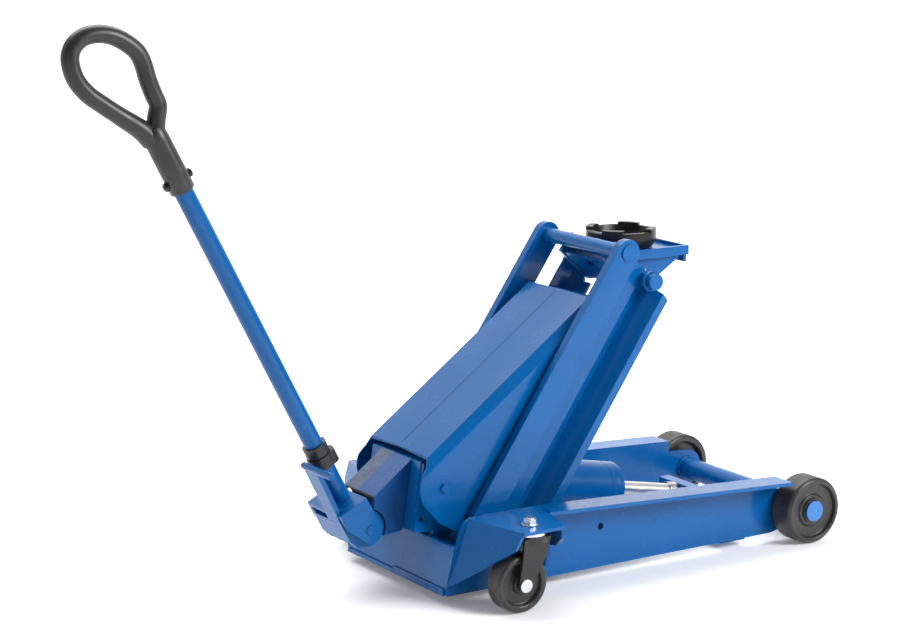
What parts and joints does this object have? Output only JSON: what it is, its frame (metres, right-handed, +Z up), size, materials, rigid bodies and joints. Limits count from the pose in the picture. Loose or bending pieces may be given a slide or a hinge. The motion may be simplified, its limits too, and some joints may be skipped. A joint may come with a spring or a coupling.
{
  "type": "trolley jack",
  "caption": "Long trolley jack with a raised fabricated lift arm, parallel links, saddle, slanted cover, pump, foot pedal, loop handle and swivel casters.",
  "frame": {"origin": "on the floor, midway between the jack's ends, sides and under its wheels", "axes": "+X towards the front wheels, +Y to the jack's left, +Z up"},
  "size_m": [1.4821, 0.592, 1.0277],
  "materials": {
    "blue_paint": "gloss",
    "blue_casting": "satin over a rough casting",
    "zinc": "bright zinc plating",
    "chrome_rod": "polished",
    "black_wheel": "satin moulded nylon",
    "black_paint": "satin",
    "cast_black": "satin blackened casting",
    "black_grip": "semi-gloss moulded",
    "seal_rubber": "matt"
  },
  "bodies": {
    "chassis": {"side_frame_left": "blue_paint", "side_frame_right": "blue_paint", "caster_wing_left": "blue_paint", "caster_wing_right": "blue_paint", "rear_plate": "blue_paint", "rear_foot_bar": "blue_paint", "rod_anchor": "blue_paint", "front_axle": "blue_paint", "axle_rings": "black_paint", "caster_bearing_left": "zinc", "caster_bearing_right": "zinc", "caster_bolt_left": "zinc", "caster_bolt_right": "zinc", "piston_rod": "chrome_rod", "piston": "zinc", "piston_seal": "seal_rubber", "rod_nut": "zinc", "cover_screws": "blue_paint", "pump_body": "blue_casting", "valve_block": "blue_casting", "pump_flange": "blue_paint", "pump_cheeks": "blue_paint", "arm_shaft": "blue_paint", "link_low_pins": "blue_paint", "yoke_pin": "blue_paint"},
    "lift_arm": {"arm_side_left": "blue_paint", "arm_side_right": "blue_paint", "arm_rear_plate": "blue_paint", "arm_tip_pin": "blue_paint", "crank_cheeks": "blue_paint", "crank_pin": "zinc"},
    "parallel_links": {"link_left": "blue_paint", "link_right": "blue_paint", "link_shaft": "blue_paint"},
    "carrier": {"carrier_plate": "blue_paint", "carrier_rim": "blue_paint", "carrier_cheeks": "blue_paint", "carrier_web": "blue_paint"},
    "saddle": {"saddle": "cast_black"},
    "ram": {"ram_cylinder": "blue_paint", "ram_front_cap": "blue_paint", "thrust_head": "blue_paint"},
    "cover": {"cover": "blue_paint"},
    "front_wheel_left": {"front_wheel_left": "black_wheel"},
    "front_wheel_right": {"front_wheel_right": "black_wheel"},
    "caster_left": {"caster_fork_left": "black_paint", "caster_axle_left": "zinc"},
    "caster_right": {"caster_fork_right": "black_paint", "caster_axle_right": "zinc"},
    "caster_wheel_left": {"caster_wheel_left": "black_wheel"},
    "caster_wheel_right": {"caster_wheel_right": "black_wheel"},
    "yoke": {"handle_yoke": "blue_paint"},
    "handle": {"handle_tube": "blue_paint", "lock_collar": "black_grip", "grip": "black_grip", "grip_screws": "black_paint"},
    "pedal": {"pedal_arm": "blue_paint", "pedal_bar": "blue_paint"},
    "plunger": {"pump_plunger": "zinc"},
    "release_valve": {"release_valve": "zinc"}
  },
  "joints": [
    {"name": "lift", "type": "hinge", "parent": "chassis", "child": "lift_arm", "pos_m": [0.0462, 0, 0.074], "axis": [0, 1, 0], "range_deg": [0, 54]},
    {"name": "link_swing", "type": "hinge", "parent": "chassis", "child": "parallel_links", "pos_m": [-0.0153, 0, 0.1325], "axis": [0, 1, 0], "range_deg": [0, 54]},
    {"name": "carrier_level", "type": "hinge", "parent": "lift_arm", "child": "carrier", "pos_m": [0.35817, 0, 0.52453], "axis": [0, 1, 0], "range_deg": [-54, 0]},
    {"name": "saddle_spin", "type": "hinge", "parent": "carrier", "child": "saddle", "pos_m": [0.3792, 0, 0.57], "axis": [0, 0, 1], "continuous": true},
    {"name": "ram_slide", "type": "slide", "parent": "chassis", "child": "ram", "axis": [0.9824, 0, -0.1869], "range_m": [0, 0.0918]},
    {"name": "cover_tilt", "type": "hinge", "parent": "chassis", "child": "cover", "pos_m": [-0.0848, 0, 0.196], "axis": [0, 1, 0], "range_deg": [0, 46.5]},
    {"name": "handle_pump", "type": "hinge", "parent": "chassis", "child": "yoke", "pos_m": [-0.2058, 0, 0.1245], "axis": [0, 1, 0], "range_deg": [-40, 8]},
    {"name": "handle_twist", "type": "hinge", "parent": "yoke", "child": "handle", "pos_m": [-0.2058, 0, 0.1245], "axis": [-0.4617, 0, 0.887], "range_deg": [-60, 60]},
    {"name": "pedal_press", "type": "hinge", "parent": "chassis", "child": "pedal", "pos_m": [-0.2058, 0, 0.1245], "axis": [0, 1, 0], "range_deg": [-40, 8]},
    {"name": "plunger_stroke", "type": "slide", "parent": "chassis", "child": "plunger", "axis": [1, 0, 0], "range_m": [-0.009, 0.0035]},
    {"name": "release_turn", "type": "hinge", "parent": "chassis", "child": "release_valve", "pos_m": [-0.2018, 0.028, 0.17], "axis": [1, 0, 0], "range_deg": [-61, 61]},
    {"name": "front_wheel_left_roll", "type": "hinge", "parent": "chassis", "child": "front_wheel_left", "pos_m": [0.6772, 0.2, 0.064], "axis": [0, 1, 0], "continuous": true},
    {"name": "caster_left_swivel", "type": "hinge", "parent": "chassis", "child": "caster_left", "pos_m": [-0.0033, 0.2565, 0.13], "axis": [0, 0, 1], "continuous": true},
    {"name": "caster_wheel_left_roll", "type": "hinge", "parent": "caster_left", "child": "caster_wheel_left", "pos_m": [-0.0288, 0.2565, 0.052], "axis": [0, 1, 0], "continuous": true},
    {"name": "front_wheel_right_roll", "type": "hinge", "parent": "chassis", "child": "front_wheel_right", "pos_m": [0.6772, -0.2, 0.064], "axis": [0, 1, 0], "continuous": true},
    {"name": "caster_right_swivel", "type": "hinge", "parent": "chassis", "child": "caster_right", "pos_m": [-0.0033, -0.2565, 0.13], "axis": [0, 0, 1], "continuous": true},
    {"name": "caster_wheel_right_roll", "type": "hinge", "parent": "caster_right", "child": "caster_wheel_right", "pos_m": [-0.0288, -0.2565, 0.052], "axis": [0, 1, 0], "continuous": true}
  ],
  "couplings": [
    {"joint": "link_swing", "follows": "lift", "ratio": 1},
    {"joint": "carrier_level", "follows": "lift", "ratio": -1},
    {"joint": "ram_slide", "follows": "lift", "m_per_rad": 0.0972},
    {"joint": "cover_tilt", "follows": "lift", "ratio": 0.86},
    {"joint": "plunger_stroke", "follows": "handle_pump", "m_per_rad": 0.0125},
    {"joint": "release_turn", "follows": "handle_twist", "ratio": 1},
    {"joint": "pedal_press", "follows": "handle_pump", "ratio": 1}
  ]
}
